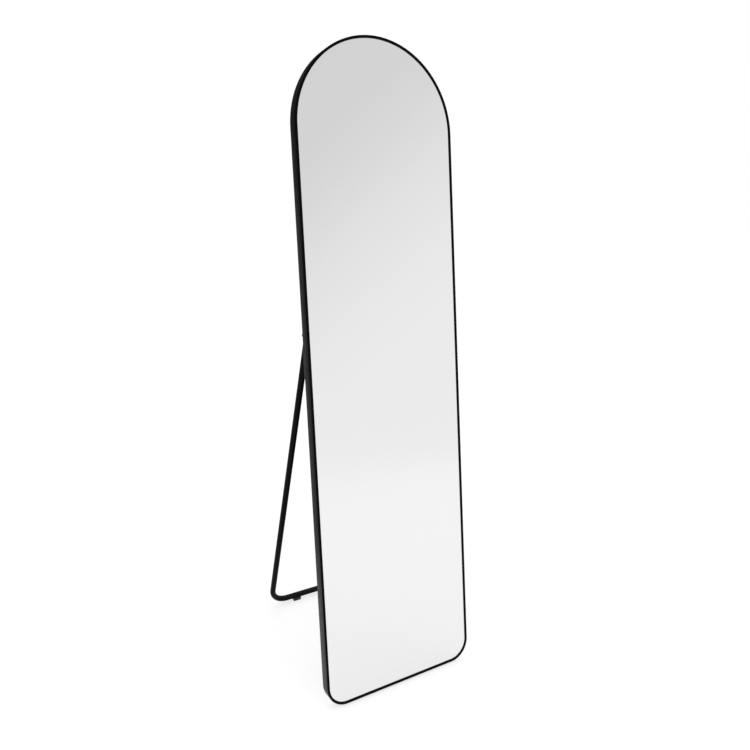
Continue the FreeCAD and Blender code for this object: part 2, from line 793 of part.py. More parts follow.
def make_pivot_bolt(side, hand):
    """The button-headed bolt that a leg turns on, its head on the outer ear."""
    body = new_body(f"pivot_bolt_{side}")
    seat = "Places.bracket_half"
    inner = ("-(Places.bracket_half + Sizes.washer_thickness + Sizes.nut_height"
             " + Sizes.nut_collar_height + Sizes.pivot_end)")
    shank = sketch_on(body, "YZ_Plane", inner)
    draw_outline(shank, polygon_corners("0", "0", "Sizes.pivot_radius", RING_SIDES))
    pad(body, shank, f"{seat} - {inner}")
    head = sketch_on(body, "YZ_Plane", seat)
    draw_outline(head, polygon_corners("0", "0", "Sizes.pivot_head_radius", RING_SIDES))
    pad(body, head, "Sizes.pivot_head_edge")
    crown = sketch_on(body, "YZ_Plane", f"{seat} + Sizes.pivot_head_edge")
    draw_outline(crown, polygon_corners("0", "0", "Sizes.pivot_crown_radius", RING_SIDES))
    pad(body, crown, "Sizes.pivot_head_height - Sizes.pivot_head_edge")
    on_pivot(body, hand)
    return body


def make_ring(label, hand, start, thickness, outer, inner):
    """A washer on the hinge line."""
    body = new_body(label)
    rings = sketch_on(body, "YZ_Plane", start)
    draw_outline(rings, polygon_corners("0", "0", outer, RING_SIDES))
    draw_hole(rings, "0", "0", inner, RING_SIDES)
    pad(body, rings, thickness)
    on_pivot(body, hand)
    return body


def make_lock_nut(side, hand):
    """A hexagon nut with a nylon collar, on the inner side of the bracket."""
    body = new_body(f"lock_nut_{side}")
    seat = "-(Places.bracket_half + Sizes.washer_thickness)"
    across_corners = "Sizes.nut_across_flats / 2 / cos(30)"
    hexagon = sketch_on(body, "YZ_Plane", f"{seat} - Sizes.nut_height")
    draw_outline(hexagon, [
        (f"{across_corners} * cos({angle})", f"{across_corners} * sin({angle})")
        for angle in range(0, 360, 60)
    ])
    draw_hole(hexagon, "0", "0", "Sizes.pivot_radius + Sizes.screw_clearance")
    pad(body, hexagon, "Sizes.nut_height")
    collar = sketch_on(body, "YZ_Plane", f"{seat} - Sizes.nut_height")
    draw_outline(collar, polygon_corners("0", "0", "Sizes.nut_collar_radius", RING_SIDES))
    draw_hole(collar, "0", "0", "Sizes.pivot_radius + Sizes.screw_clearance")
    pad(body, collar, "Sizes.nut_collar_height", reverse=True)
    on_pivot(body, hand)
    return body


# ---------------------------------------------------------------------------- the stand

def make_stand_tube():
    """The U-shaped tube: two legs and a bottom bar, bent from one length."""
    body = new_body("stand_tube")
    path = sketch_on(body, "XZ_Plane")
    leg = size("leg_offset")
    bend = size("bend_radius")
    low = -size("leg_length")
    top = size("tube_end")
    normal = FreeCAD.Vector(0, 0, 1)

    def straight(x1, z1, x2, z2):
        return Part.LineSegment(FreeCAD.Vector(x1, z1, 0), FreeCAD.Vector(x2, z2, 0))

    def bent(x, start, end):
        circle = Part.Circle(FreeCAD.Vector(x, low + bend, 0), normal, bend)
        return Part.ArcOfCircle(circle, math.radians(start), math.radians(end))

    route = path.addGeometry([
        straight(-leg, top, -leg, low + bend),
        bent(bend - leg, 180, 270),
        straight(bend - leg, low, leg - bend, low),
        bent(leg - bend, 270, 360),
        straight(leg, low + bend, leg, top),
    ], False)
    for line, following in zip(route, route[1:]):
        path.addConstraint(Sketcher.Constraint("Tangent", line, 2, following, 1))
    left, left_bend, bar, right_bend, right = route
    path.addConstraint(Sketcher.Constraint("Vertical", left))
    path.addConstraint(Sketcher.Constraint("Horizontal", bar))
    path.addConstraint(Sketcher.Constraint("Vertical", right))
    bound(path, "Radius", left_bend, to="Sizes.bend_radius")
    bound(path, "Radius", right_bend, to="Sizes.bend_radius")
    fix_point(path, left, 1, "-Places.leg_offset", "Places.tube_end")
    fix_point(path, right, 2, "Places.leg_offset", "Places.tube_end")
    fix_point(path, bar, 1, up="-Places.leg_length")
    section = sketch_on(body, "XY_Plane", "Places.tube_end")
    draw_circle(section, "-Places.leg_offset", "0", "Sizes.tube_radius")
    draw_hole(section, "-Places.leg_offset", "0", "Places.bore_radius")
    doc.recompute()
    sweep = add(body, "PartDesign::AdditivePipe")
    sweep.Profile = section
    sweep.Spine = (path, [])
    doc.recompute()
    pivots = sketch_on(body, "YZ_Plane")
    draw_hole(pivots, "0", "0", "Sizes.pivot_radius + Sizes.pivot_clearance")
    cut(body, pivots, "4 * Places.leg_offset", middle=True)
    screws = sketch_on(body, "XY_Plane", "-Places.leg_length", tilt="Places.leg_slope")
    for hand in ("-1", "1"):
        draw_hole(screws, f"{hand} * Places.foot_offset", "0",
                  "Sizes.foot_screw_radius + Sizes.screw_clearance")
    cut(body, screws, "2 * Sizes.tube_radius")
    swing_out(body)
    return body


def make_tube_cap(side, hand):
    """The plug that closes a leg's top end and cushions its stop."""
    body = new_body(f"tube_cap_{side}")
    centre = f"{hand} * Places.leg_offset"
    lid = sketch_on(body, "XY_Plane", "Places.tube_end")
    draw_outline(lid, polygon_corners(centre, "0", "Sizes.tube_radius - Sizes.cap_clearance",
                                      RING_SIDES))
    pad(body, lid, "Sizes.cap_thickness")
    plug = sketch_on(body, "XY_Plane", "Places.tube_end")
    draw_outline(plug, polygon_corners(centre, "0", "Places.bore_radius - Sizes.cap_clearance",
                                       SCREW_SIDES))
    pad(body, plug, "Sizes.cap_plug", reverse=True)
    swing_out(body)
    return body


def stand_on_bar(piece):
    """Puts a piece drawn about the middle of the bottom bar, upright, where the bar is."""
    piece.Placement = FreeCAD.Placement()
    piece.setExpression("Placement.Base.y", "Places.bar_reach + Places.shift")
    piece.setExpression("Placement.Base.z", "Places.bar_height")


def make_foot(side, hand):
    """The rubber foot: a block with a round seat under the bar and a flat sole."""
    body = new_body(f"stand_foot_{side}")
    centre = f"{hand} * Places.foot_offset"
    sole = "-(Sizes.tube_radius + Sizes.foot_below)"
    half = "Sizes.foot_width / 2"
    end_view = sketch_on(body, "YZ_Plane", centre)
    draw_outline(end_view, [
        (f"-{half}", sole),
        (half, sole),
        (half, "-Sizes.foot_top_drop"),
        (f"-{half}", "-Sizes.foot_top_drop"),
    ])
    pad(body, end_view, "Sizes.foot_length", middle=True)
    round_edges(body, UPWARD, lambda point: near(abs(point.y), half), "Sizes.foot_rounding")
    seat = sketch_on(body, "YZ_Plane", centre)
    draw_circle(seat, "0", "0", "Sizes.tube_radius + Sizes.foot_seat_clearance")
    cut(body, seat, "2 * Sizes.foot_length", middle=True)
    hole = sketch_on(body, "XY_Plane", sole)
    draw_hole(hole, centre, "0", "Sizes.foot_screw_radius + Sizes.screw_clearance")
    cut(body, hole, "Sizes.tube_radius + Sizes.foot_below", reverse=True)
    recess = sketch_on(body, "XY_Plane", sole)
    draw_hole(recess, centre, "0", "Sizes.foot_head_radius + Sizes.foot_recess_clearance")
    cut(body, recess, "Sizes.foot_head_recess", reverse=True)
    stand_on_bar(body)
    return body


def make_foot_screws():
    """The screws that hold the feet, their heads sunk into the soles."""
    seat = size("foot_head_recess") - size("tube_radius") - size("foot_below")
    length = -seat - size("bore_radius") + size("foot_screw_radius")
    screw = pan_screw(size("foot_head_radius"), size("foot_head_height"),
                      size("foot_screw_radius"), length)
    spots = [FreeCAD.Vector(hand * size("foot_offset"), 0, seat) for hand in (-1, 1)]
    piece = screw_group("foot_screws", screw, spots, DOWNWARD)
    stand_on_bar(piece)
    return piece


# ---------------------------------------------------------------------------- the whole mirror

def make_pieces():
    """Every piece of the mirror, each a part of its own."""
    pieces = [
        make_frame(),
        make_splice(),
        make_splice_screws(),
        make_sheet("mirror_glass", "Sizes.frame_wall", "Sizes.glass_thickness",
                   "Places.glass_inset"),
        make_sheet("safety_film", "Places.glass_back", "Sizes.film_thickness",
                   "Places.film_inset"),
        make_sheet("cushion_sheet", "Places.film_back",
                   "Places.board_front - Places.film_back", "Places.board_inset"),
        make_board(),
        make_board_screws(),
        make_hanger_screws(),
        make_stand_tube(),
        make_foot_screws(),
    ]
    outer_start = "Places.slot_half - Sizes.spacer_clearance - Sizes.spacer_thickness"
    inner_start = "-(Places.slot_half - Sizes.spacer_clearance)"
    washer_start = "-(Places.bracket_half + Sizes.washer_thickness)"
    bore = "Sizes.pivot_radius + Sizes.screw_clearance"
    for side, hand in SIDES:
        pieces += [
            make_pad(side, hand),
            make_hanger(side, hand),
            make_bracket(side, hand),
            make_bracket_screws(side, hand),
            make_pivot_bolt(side, hand),
            make_ring(f"spacer_outer_{side}", hand, outer_start, "Sizes.spacer_thickness",
                      "Sizes.spacer_radius", bore),
            make_ring(f"spacer_inner_{side}", hand, inner_start, "Sizes.spacer_thickness",
                      "Sizes.spacer_radius", bore),
            make_ring(f"pivot_washer_{side}", hand, washer_start, "Sizes.washer_thickness",
                      "Sizes.washer_radius", bore),
            make_lock_nut(side, hand),
            make_tube_cap(side, hand),
            make_foot(side, hand),
        ]
    return pieces


def check(pieces):
    """Stops if a feature failed or a piece has no valid shape."""
    for item in doc.Objects:
        if "Invalid" in item.State or "Error" in item.State:
            raise RuntimeError(f"{item.Label} ({item.Name}) failed: {item.State}")
    for piece in pieces:
        if piece.Shape.isNull() or not piece.Shape.isValid() or not piece.Shape.Solids:
            raise RuntimeError(f"{piece.Label} has no valid shape")


def write(pieces):
    """Writes each piece to its own file."""
    os.makedirs("parts", exist_ok=True)
    for piece in pieces:
        piece.Shape.exportStep(f"parts/{piece.Label}.step")


all_pieces = make_pieces()
doc.recompute()
check(all_pieces)
write(all_pieces)
whole = Part.makeCompound([piece.Shape for piece in all_pieces])
print(len(all_pieces), "pieces,", whole.BoundBox)
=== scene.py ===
import math

import bmesh
import bpy
from bpy.props import FloatProperty, FloatVectorProperty, IntProperty, PointerProperty
from mathutils import Matrix, Vector


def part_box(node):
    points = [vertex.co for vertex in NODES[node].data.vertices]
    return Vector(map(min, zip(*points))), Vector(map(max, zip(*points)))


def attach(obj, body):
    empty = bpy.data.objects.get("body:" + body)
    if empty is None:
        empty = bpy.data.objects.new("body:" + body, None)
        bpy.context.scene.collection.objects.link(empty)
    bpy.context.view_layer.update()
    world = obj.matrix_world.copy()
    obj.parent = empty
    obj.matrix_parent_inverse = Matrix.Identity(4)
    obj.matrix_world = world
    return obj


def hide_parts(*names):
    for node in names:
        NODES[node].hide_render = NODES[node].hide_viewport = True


bl_info = {
    "name": "Leaning Floor Mirror",
    "version": (1, 0, 0),
    "blender": (4, 5, 0),
    "location": "View3D > Sidebar > Mirror",
    "description": "Builds the looks of an arched floor mirror on a folding tube stand",
    "category": "Object",
}

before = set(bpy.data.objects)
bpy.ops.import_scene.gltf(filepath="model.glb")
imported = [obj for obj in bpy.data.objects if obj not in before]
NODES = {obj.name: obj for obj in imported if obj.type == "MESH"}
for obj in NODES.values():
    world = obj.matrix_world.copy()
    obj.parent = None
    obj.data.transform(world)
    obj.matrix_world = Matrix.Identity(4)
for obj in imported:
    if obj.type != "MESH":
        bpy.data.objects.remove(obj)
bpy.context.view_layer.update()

PANEL = "mirror_panel"
STAND = "stand"
SIDES = ("left", "right")

# radius and height of the screws' heads
SMALL_HEAD = (0.003, 0.0017)
BRACKET_HEAD = (0.0036, 0.0018)
FOOT_HEAD = (0.0032, 0.0018)

# the hinge bolt's shank, and the bores of the nut and the rings on it
BOLT_RADIUS = 0.0025
BORE_RADIUS = 0.00256

# colours of settled dust and of metal rubbed bare of its coat
DUST = (0.45, 0.43, 0.40)
RUBBED = (0.09, 0.09, 0.095)


# ---------------------------------------------------------------- sizes and finishes

def length(name, description, default, **more):
    """A length a user may change, in metres."""
    return FloatProperty(name=name, description=description, default=default,
                         unit="LENGTH", precision=4, **more)


def colour(name, description, default):
    """A colour a user may change."""
    return FloatVectorProperty(name=name, description=description, default=default,
                               subtype="COLOR", size=3, min=0.0, max=1.0)


class MirrorSizes(bpy.types.PropertyGroup):
    """Sizes of the mirror's own pieces."""
    panel_width: length("Panel width", "Width of the framed panel", 0.4)
    panel_height: length("Panel height", "Height of the panel along its lean", 1.5)
    frame_depth: length("Frame depth", "Front to back depth of the frame", 0.025)
    corner_radius: length("Corner radius", "Radius of the two lower corners", 0.05)
    face_width: length("Face width", "Width of the frame seen from the front", 0.006)
    frame_wall: length("Frame wall", "Wall of the extruded frame", 0.0015)
    flange_width: length("Flange width", "Width of the frame's back flange", 0.022)
    edge_rounding: length("Edge rounding", "Radius of the frame's outer edges", 0.0006)
    lean: FloatProperty(name="Lean", description="How far the panel leans back",
                        default=math.radians(11.0), subtype="ANGLE")
    panel_back: length("Panel place", "Depth of the panel's lower front edge", -0.200123)
    panel_lift: length("Panel lift", "Height of the panel's lower front edge", 0.006352)
    screw_spin: IntProperty(name="Screw spin", description="Seed of the screws' turns",
                            default=7)


class MirrorFinishes(bpy.types.PropertyGroup):
    """Colours of the mirror's finishes."""
    frame_black: colour("Frame", "Satin black of the aluminium frame",
                        (0.0022, 0.0024, 0.0028))
    tube_black: colour("Stand", "Powder coat of the stand", (0.0045, 0.0047, 0.0053))
    glass_tint: colour("Glass", "Tint of the silvered glass", (0.86, 0.86, 0.86))
    board_black: colour("Back board", "Black of the back board", (0.022, 0.021, 0.020))
    zinc_grey: colour("Zinc", "Bright zinc of nuts and hangers", (0.62, 0.63, 0.64))
    rubber_black: colour("Rubber", "Rubber of feet and pads", (0.020, 0.020, 0.021))
    floor_white: colour("Floor", "Pale floor of the stage", (0.45, 0.45, 0.45))


def sizes():
    """The scene's sizes."""
    return bpy.context.scene.mirror_sizes


def finishes():
    """The scene's finishes."""
    return bpy.context.scene.mirror_finishes


def panel_place():
    """From the upright panel's own frame to where it leans."""
    own = sizes()
    return (Matrix.Translation((0, own.panel_back, own.panel_lift))
            @ Matrix.Rotation(-own.lean, 4, "X"))


# ---------------------------------------------------------------- shader nodes

class Graph:
    """A node tree with short calls to add and join nodes."""

    def __init__(self, tree):
        self.tree = tree

    def add(self, kind, inputs=None, **settings):
        """A new node with its settings and inputs."""
        node = self.tree.nodes.new(kind)
        for name, value in settings.items():
            setattr(node, name, value)
        for key, value in (inputs or {}).items():
            self.join(value, node.inputs[key])
        return node

    def join(self, value, socket):
        """Links an output to a node's input, or gives the input a plain value."""
        if isinstance(value, bpy.types.NodeSocket):
            self.tree.links.new(value, socket)
        elif socket.type == "RGBA":
            socket.default_value = (*value[:3], 1.0)
        else:
            socket.default_value = value

    def math(self, operation, first, second, clamp=False):
        """Works out a sum of two values."""
        node = self.add("ShaderNodeMath", {0: first, 1: second}, operation=operation,
                        use_clamp=clamp)
        return node.outputs[0]

    def blend(self, factor, first, second):
        """Mixes two colours, each a socket or a colour."""
        node = self.add("ShaderNodeMix", {0: factor, 6: first, 7: second}, data_type="RGBA")
        return node.outputs[2]

    def spread(self, value, low, high, out_low=0.0, out_high=1.0):
        """Maps one range of a value onto another."""
        node = self.add("ShaderNodeMapRange",
                        {0: value, 1: low, 2: high, 3: out_low, 4: out_high})
        return node.outputs[0]

    def noise(self, vector, scale, detail=3.0, roughness=0.5):
        """A noise of some cells to the metre."""
        node = self.add("ShaderNodeTexNoise", {"Vector": vector, "Scale": scale,
                                               "Detail": detail, "Roughness": roughness})
        return node.outputs[0]

    def stretched(self, vector, scale):
        """The coordinates stretched along an axis, for grain."""
        node = self.add("ShaderNodeMapping", {"Vector": vector, "Scale": scale})
        return node.outputs[0]

    def object_place(self):
        """Where a point lies on the object."""
        return self.add("ShaderNodeTexCoord").outputs["Object"]


def open_tree(tree):
    """The graph of a new group, what the group is given and what it puts out."""
    graph = Graph(tree)
    return graph, graph.add("NodeGroupInput").outputs, graph.add("NodeGroupOutput").inputs


def shader_group(name, inputs, outputs):
    """An empty shader node group with named sockets."""
    tree = bpy.data.node_groups.new(name, "ShaderNodeTree")
    for label, kind, default in inputs:
        socket = tree.interface.new_socket(name=label, in_out="INPUT", socket_type=kind)
        if default is not None:
            socket.default_value = default
    for label, kind in outputs:
        tree.interface.new_socket(name=label, in_out="OUTPUT", socket_type=kind)
    return open_tree(tree)


FLOAT = "NodeSocketFloat"
VECTOR = "NodeSocketVector"


def make_coat_grain():
    """The fine orange peel of powder coat and paint."""
    graph, given, out = shader_group(
        "coat_grain",
        [("Place", VECTOR, None), ("Scale", FLOAT, 2600.0), ("Mottle", FLOAT, 60.0)],
        [("Height", FLOAT), ("Roughness shift", FLOAT)])
    fine = graph.noise(given["Place"], given["Scale"], detail=2.0, roughness=0.6)
    broad = graph.noise(given["Place"], given["Mottle"], detail=4.0, roughness=0.6)
    graph.join(fine, out["Height"])
    graph.join(graph.spread(broad, 0.3, 0.7, -0.5, 0.5), out["Roughness shift"])


def make_drawn_grain():
    """Fine lines along a drawn or rolled surface."""
    graph, given, out = shader_group(
        "drawn_grain",
        [("Place", VECTOR, None), ("Stretch", VECTOR, (1.0, 1.0, 0.02)),
         ("Scale", FLOAT, 1500.0)],
        [("Height", FLOAT), ("Streak", FLOAT)])
    drawn = graph.add("ShaderNodeVectorMath", {0: given["Place"], 1: given["Stretch"]},
                      operation="MULTIPLY").outputs[0]
    lines = graph.noise(drawn, given["Scale"], roughness=0.65)
    wide = graph.noise(drawn, graph.math("MULTIPLY", given["Scale"], 0.06))
    graph.join(lines, out["Height"])
    graph.join(graph.spread(wide, 0.3, 0.7), out["Streak"])


def make_edge_wear():
    """Where handling has rubbed the edges, broken up by noise."""
    graph, given, out = shader_group(
        "edge_wear",
        [("Place", VECTOR, None), ("Width", FLOAT, 0.0006), ("Amount", FLOAT, 0.5)],
        [("Mask", FLOAT)])
    soft = graph.add("ShaderNodeBevel", {"Radius": given["Width"]}, samples=4)
    flat = graph.add("ShaderNodeNewGeometry")
    match = graph.add("ShaderNodeVectorMath",
                      {0: soft.outputs[0], 1: flat.outputs["Normal"]},
                      operation="DOT_PRODUCT").outputs["Value"]
    edge = graph.spread(match, 0.995, 0.9)
    blots = graph.noise(given["Place"], 140.0, detail=5.0, roughness=0.65)
    patches = graph.spread(blots, 0.45, 0.62)
    rubbed = graph.math("MULTIPLY", edge, patches)
    graph.join(graph.math("MULTIPLY", rubbed, given["Amount"]), out["Mask"])


def make_settled_dust():
    """A little dust where a surface faces up, broken up by noise."""
    graph, given, out = shader_group(
        "settled_dust",
        [("Place", VECTOR, None), ("Amount", FLOAT, 0.3)],
        [("Mask", FLOAT)])
    normal = graph.add("ShaderNodeNewGeometry").outputs["Normal"]
    up = graph.add("ShaderNodeSeparateXYZ", {0: normal}).outputs[2]
    facing = graph.spread(up, 0.1, 1.0)
    grains = graph.noise(given["Place"], 420.0, detail=6.0, roughness=0.7)
    specks = graph.spread(grains, 0.42, 0.68)
    mask = graph.math("MULTIPLY", facing, specks)
    graph.join(graph.math("MULTIPLY", mask, given["Amount"]), out["Mask"])


def make_groups():
    """Makes the shader node groups that the materials share."""
    make_coat_grain()
    make_drawn_grain()
    make_edge_wear()
    make_settled_dust()


def new_material(name):
    """A material with an empty Principled surface, and its graph."""
    material = bpy.data.materials.new(name)
    material.use_nodes = True
    graph = Graph(material.node_tree)
    surface = material.node_tree.nodes["Principled BSDF"]
    return material, graph, surface


def place_group(graph, name, inputs):
    """What a shader node group puts out for the given inputs."""
    tree = bpy.data.node_groups[name]
    return graph.add("ShaderNodeGroup", inputs, node_tree=tree).outputs


def bump(graph, surface, height, depth):
    """Raises the surface by a height field of a given depth in metres."""
    node = graph.add("ShaderNodeBump", {"Distance": depth, "Height": height})
    graph.join(node.outputs[0], surface.inputs["Normal"])


def coated(name, base, roughness, specular, wear, dust, grain=2600.0, depth=0.00003,
           grazing=None):
    """Paint or powder coat over metal, which may shine more where seen at a slant."""
    material, graph, surface = new_material(name)
    place = graph.object_place()
    peel = place_group(graph, "coat_grain", {"Place": place, "Scale": grain})
    worn = place_group(graph, "edge_wear", {"Place": place, "Amount": wear})["Mask"]
    dusty = place_group(graph, "settled_dust", {"Place": place, "Amount": dust})["Mask"]
    rubbed = graph.blend(worn, base, RUBBED)
    graph.join(graph.blend(dusty, rubbed, DUST), surface.inputs["Base Color"])
    shift = graph.math("MULTIPLY", peel["Roughness shift"], 0.12)
    level = graph.math("ADD", shift, roughness)
    level = graph.math("SUBTRACT", level, graph.math("MULTIPLY", worn, 0.12))
    level = graph.math("ADD", level, graph.math("MULTIPLY", dusty, 0.3), clamp=True)
    graph.join(level, surface.inputs["Roughness"])
    surface.inputs["Specular IOR Level"].default_value = specular
    if grazing is not None:
        slant = graph.add("ShaderNodeLayerWeight", {"Blend": 0.5}).outputs["Facing"]
        shine = graph.spread(slant, 0.4, 0.65, specular, grazing)
        graph.join(shine, surface.inputs["Specular IOR Level"])
    bump(graph, surface, peel["Height"], depth)
    return material


def plated(name, base, roughness, stretch=(1.0, 1.0, 1.0), wear=0.3):
    """Bright or blackened plated metal with a drawn grain."""
    material, graph, surface = new_material(name)
    place = graph.object_place()
    drawn = place_group(graph, "drawn_grain", {"Place": place, "Stretch": stretch})
    worn = place_group(graph, "edge_wear", {"Place": place, "Amount": wear})["Mask"]
    dull = tuple(0.72 * part for part in base)
    tone = graph.blend(drawn["Streak"], base, dull)
    bright = tuple(min(1.0, part * 1.4 + 0.05) for part in base)
    graph.join(graph.blend(worn, tone, bright), surface.inputs["Base Color"])
    level = graph.spread(drawn["Streak"], 0.0, 1.0, roughness - 0.06, roughness + 0.08)
    graph.join(level, surface.inputs["Roughness"])
    surface.inputs["Metallic"].default_value = 1.0
    bump(graph, surface, drawn["Height"], 0.00001)
    return material


def moulded(name, base, roughness, grain=900.0, depth=0.00006, dust=0.2):
    """Moulded plastic or rubber with a fine texture and a little bloom."""
    material, graph, surface = new_material(name)
    place = graph.object_place()
    peel = place_group(graph, "coat_grain",
                       {"Place": place, "Scale": grain, "Mottle": 90.0})
    dusty = place_group(graph, "settled_dust", {"Place": place, "Amount": dust})["Mask"]
    bloom = graph.spread(peel["Roughness shift"], -0.5, 0.5, 0.0, 0.35)
    pale = tuple(part * 1.7 + 0.008 for part in base)
    tone = graph.blend(bloom, base, pale)
    graph.join(graph.blend(dusty, tone, DUST), surface.inputs["Base Color"])
    shift = graph.math("MULTIPLY", peel["Roughness shift"], 0.15)
    graph.join(graph.math("ADD", shift, roughness), surface.inputs["Roughness"])
    surface.inputs["Specular IOR Level"].default_value = 0.4
    bump(graph, surface, peel["Height"], depth)
    return material


def mirror_material():
    """Silvered glass: a clean reflection with a faint film of dust and wiping marks."""
    material, graph, surface = new_material("silvered_glass")
    place = graph.object_place()
    tint = finishes().glass_tint
    wiped = graph.noise(graph.stretched(place, (5.0, 5.0, 1.2)), 3.0, detail=5.0,
                        roughness=0.6)
    haze = graph.spread(wiped, 0.45, 0.75)
    specks = graph.spread(graph.noise(place, 900.0, detail=2.0), 0.74, 0.8)
    film = graph.math("ADD", graph.math("MULTIPLY", haze, 0.05),
                      graph.math("MULTIPLY", specks, 0.05), clamp=True)
    veil = tuple(part * 0.96 for part in tint)
    graph.join(graph.blend(film, tint, veil), surface.inputs["Base Color"])
    graph.join(graph.spread(film, 0.0, 1.0, 0.004, 0.12), surface.inputs["Roughness"])
    surface.inputs["Metallic"].default_value = 1.0
    return material


def board_material():
    """Hardboard painted black: pressed fibres under a thin, slightly mottled coat."""
    material, graph, surface = new_material("painted_board")
    place = graph.object_place()
    base = finishes().board_black
    fibres = graph.noise(graph.stretched(place, (1.0, 1.0, 0.35)), 1400.0, detail=4.0,
                         roughness=0.7)
    clouds = graph.noise(place, 22.0, detail=5.0, roughness=0.6)
    pale = tuple(part * 1.4 + 0.002 for part in base)
    tone = graph.blend(graph.spread(clouds, 0.35, 0.7), base, pale)
    strands = graph.spread(fibres, 0.62, 0.78, 0.0, 0.45)
    brown = graph.blend(strands, tone, (0.085, 0.062, 0.045))
    dusty = place_group(graph, "settled_dust", {"Place": place, "Amount": 0.3})["Mask"]
    graph.join(graph.blend(dusty, brown, DUST), surface.inputs["Base Color"])
    graph.join(graph.spread(fibres, 0.3, 0.7, 0.55, 0.8), surface.inputs["Roughness"])
    surface.inputs["Specular IOR Level"].default_value = 0.3
    bump(graph, surface, fibres, 0.00012)
    return material


def foam_material():
    """White foam sheet with fine closed cells."""
    material, graph, surface = new_material("foam_sheet")
    place = graph.object_place()
    cells = graph.add("ShaderNodeTexVoronoi", {"Vector": place, "Scale": 900.0}).outputs[0]
    shade = graph.spread(cells, 0.0, 0.7)
    tone = graph.blend(shade, (0.80, 0.80, 0.78), (0.62, 0.62, 0.60))
    graph.join(tone, surface.inputs["Base Color"])
    surface.inputs["Roughness"].default_value = 0.8
    bump(graph, surface, cells, 0.0002)
    return material


def film_material():
    """Milky safety film with a woven look."""
    material, graph, surface = new_material("safety_film")
    place = graph.object_place()
    wave = graph.add("ShaderNodeTexWave",
                     {"Vector": place, "Scale": 260.0, "Distortion": 0.4})
    threads = wave.outputs["Fac"]
    tone = graph.blend(threads, (0.66, 0.68, 0.70), (0.54, 0.56, 0.58))
    graph.join(tone, surface.inputs["Base Color"])
    graph.join(graph.spread(threads, 0.0, 1.0, 0.35, 0.55), surface.inputs["Roughness"])
    bump(graph, surface, threads, 0.00005)
    return material


# ---------------------------------------------------------------- meshes

def link(data, name):
    """A new object for a mesh, curve, lamp or camera, in the scene."""
    made = bpy.data.objects.new(name, data)
    bpy.context.scene.collection.objects.link(made)
    return made


def smooth(mesh, angle=35.0):
    """Smooth shading, apart from edges sharper than an angle."""
    for face in mesh.polygons:
        face.use_smooth = True
    mesh.set_sharp_from_angle(angle=math.radians(angle))


def from_bmesh(shape, name):
    """A plain mesh from a bmesh, merged and facing outwards."""
    bmesh.ops.remove_doubles(shape, verts=shape.verts, dist=1e-7)
    bmesh.ops.recalc_face_normals(shape, faces=shape.faces)
    mesh = bpy.data.meshes.new(name)
    shape.to_mesh(mesh)
    shape.free()
    smooth(mesh)
    return mesh


def evenly(steps):
    """The angles of evenly spaced points on a circle."""
    return [2 * math.pi * step / steps for step in range(steps)]


def circle(shape, radius, height, turns):
    """Vertices on a circle about Z, one at each angle."""
    return [shape.verts.new((radius * math.cos(turn), radius * math.sin(turn), height))
            for turn in turns]


def bridge(shape, lower, upper):
    """Faces between two circles, of which one may be a single point."""
    steps = max(len(lower), len(upper))
    for step in range(steps):
        after = (step + 1) % steps
        corners = [lower[step % len(lower)], lower[after % len(lower)],
                   upper[after % len(upper)], upper[step % len(upper)]]
        shape.faces.new(list(dict.fromkeys(corners)))


def lathe(profile, steps=40):
    """A shape turned about Z, from pairs of radius and height that start and end at 0."""
    shape = bmesh.new()
    rings = [circle(shape, radius, height, evenly(steps) if radius else [0.0])
             for radius, height in profile]
    for lower, upper in zip(rings, rings[1:]):
        bridge(shape, lower, upper)
    return shape


def ring(outer, inner, thick, chamfer, steps=48):
    """A flat ring about Z with softened outer edges."""
    profile = [(inner, 0.0), (outer - chamfer, 0.0), (outer, chamfer),
               (outer, thick - chamfer), (outer - chamfer, thick), (inner, thick)]
    shape = bmesh.new()
    rings = [circle(shape, radius, height, evenly(steps)) for radius, height in profile]
    for lower, upper in zip(rings, rings[1:] + rings[:1]):
        bridge(shape, lower, upper)
    return shape


def bar(sides, radius, low, high, taper=1.0, turn=0.0):
    """An upright bar of some sides, narrower or as wide at its lower end."""
    shape = bmesh.new()
    turns = [turn + 2 * math.pi * (step + 0.5) / sides for step in range(sides)]
    bottom = circle(shape, radius * taper, low, turns)
    top = circle(shape, radius, high, turns)
    shape.faces.new(bottom)
    shape.faces.new(top)
    bridge(shape, bottom, top)
    return shape


def carved(shape, steps, name, angle=35.0):
    """A mesh after boolean steps, each of them an operation and a second shape."""
    whole = link(from_bmesh(shape, name), name)
    helpers = []
    for operation, second in steps:
        helper = link(from_bmesh(second, name + "_helper"), name + "_helper")
        helpers.append(helper)
        modifier = whole.modifiers.new("cut", "BOOLEAN")
        modifier.object = helper
        modifier.operation = operation
        modifier.solver = "EXACT"
    mesh = evaluated(whole)
    for made in (whole, *helpers):
        bpy.data.objects.remove(made)
    smooth(mesh, angle)
    return mesh


def evaluated(thing):
    """A plain copy of an object's mesh with its modifiers applied."""
    bpy.context.view_layer.update()
    graph = bpy.context.evaluated_depsgraph_get()
    return bpy.data.meshes.new_from_object(thing.evaluated_get(graph), depsgraph=graph)


def dress(thing, material):
    """Gives an object one material."""
    thing.data.materials.clear()
    thing.data.materials.append(material)


def soften(node, width, segments=2, angle=30.0):
    """Rounds a CAD piece's edges with modifiers that leave its mesh as it is."""
    thing = NODES[node]
    for face in thing.data.polygons:
        face.use_smooth = True
    weld = thing.modifiers.new("join", "WELD")
    weld.merge_threshold = 1e-6
    plain = thing.modifiers.new("flat", "DECIMATE")
    plain.decimate_type = "DISSOLVE"
    plain.angle_limit = math.radians(0.5)
    edge = thing.modifiers.new("edge", "BEVEL")
    edge.width = width
    edge.segments = segments
    edge.limit_method = "ANGLE"
    edge.angle_limit = math.radians(angle)
    edge.harden_normals = True
    edge.use_clamp_overlap = True


